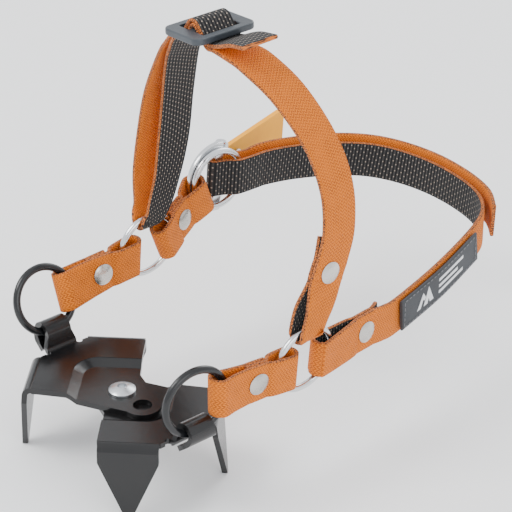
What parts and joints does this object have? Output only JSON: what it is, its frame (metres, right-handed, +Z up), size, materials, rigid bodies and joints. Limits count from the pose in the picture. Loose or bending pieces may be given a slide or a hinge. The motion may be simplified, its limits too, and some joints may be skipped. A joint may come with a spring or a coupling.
{
  "type": "instep crampon",
  "caption": "Instep crampon: bolted spiked steel plates on the shoe's arch, orange webbing instep and heel straps, rings, rivets, and a yellow lever buckle.",
  "frame": {"origin": "on the ground, under the middle of the whole part's box", "axes": "+Z up, +Y towards the heel of the foot, +X towards the right side, the side without the buckle"},
  "size_m": [0.153, 0.2426, 0.1905],
  "materials": {
    "black_paint": "gloss",
    "zinc": "bright zinc",
    "black_oxide": "satin",
    "silver_wire": "polished",
    "nickel_cap": "polished",
    "webbing": "woven",
    "dark_plastic": "satin",
    "frame_steel": "satin",
    "lever_yellow": "gloss",
    "label_rubber": "matt"
  },
  "bodies": {
    "plates": {"left_plate": "black_paint", "right_plate": "black_paint", "collar_nut": "zinc"},
    "screw": {"clamp_screw": "zinc"},
    "left_black_ring": {"left_hem_ring": "black_oxide"},
    "right_black_ring": {"right_hem_ring": "black_oxide"},
    "side_straps": {"left_front_strap": "webbing", "right_front_strap": "webbing", "left_front_rivet": "nickel_cap", "left_front_rivet_back": "nickel_cap", "right_front_rivet": "nickel_cap", "right_front_rivet_back": "nickel_cap", "left_silver_ring": "silver_wire", "right_silver_ring": "silver_wire"},
    "instep": {"instep_strap": "webbing", "instep_rivet": "nickel_cap", "instep_rivet_back": "nickel_cap", "strap_slider": "dark_plastic"},
    "heel": {"left_rear_strap": "webbing", "left_rear_rivet": "nickel_cap", "left_rear_rivet_back": "nickel_cap", "buckle_frame": "frame_steel", "lever_pin": "frame_steel", "heel_strap": "webbing", "heel_rivet": "nickel_cap", "heel_rivet_back": "nickel_cap", "heel_label": "label_rubber"},
    "buckle_ring": {"buckle_ring": "silver_wire"},
    "lever": {"buckle_lever": "lever_yellow", "lever_rivet": "nickel_cap"}
  },
  "joints": [
    {"name": "clamp_screw_turn", "type": "hinge", "parent": "plates", "child": "screw", "pos_m": [0.01607, -0.08669, 0.0345], "axis": [0, 0, 1], "continuous": true},
    {"name": "left_black_ring_spin", "type": "hinge", "parent": "plates", "child": "left_black_ring", "pos_m": [-0.03971, -0.08669, 0.05588], "axis": [0.9397, 0, 0.342], "continuous": true},
    {"name": "right_black_ring_spin", "type": "hinge", "parent": "plates", "child": "right_black_ring", "pos_m": [0.06704, -0.08669, 0.05423], "axis": [0.9962, -0.0872, 0], "continuous": true},
    {"name": "side_straps_swing", "type": "hinge", "parent": "plates", "child": "side_straps", "pos_m": [0.01367, -0.08669, 0.05506], "axis": [0.9999, 0, -0.0155], "range_deg": [-3, 6]},
    {"name": "instep_swing", "type": "hinge", "parent": "side_straps", "child": "instep", "pos_m": [0.01557, -0.02919, 0.05875], "axis": [0.9954, 0, -0.0959], "range_deg": [-3, 10]},
    {"name": "heel_swing", "type": "hinge", "parent": "side_straps", "child": "heel", "pos_m": [0.01557, -0.02919, 0.05875], "axis": [0.9954, 0, -0.0959], "range_deg": [-8, 3]},
    {"name": "buckle_ring_spin", "type": "hinge", "parent": "heel", "child": "buckle_ring", "pos_m": [-0.04313, 0.01682, 0.08113], "axis": [1, 0, 0], "continuous": true},
    {"name": "lever_hinge", "type": "hinge", "parent": "heel", "child": "lever", "pos_m": [-0.05353, 0.02628, 0.0803], "axis": [0, 0.0872, 0.9962], "range_deg": [-18, 70]}
  ]
}
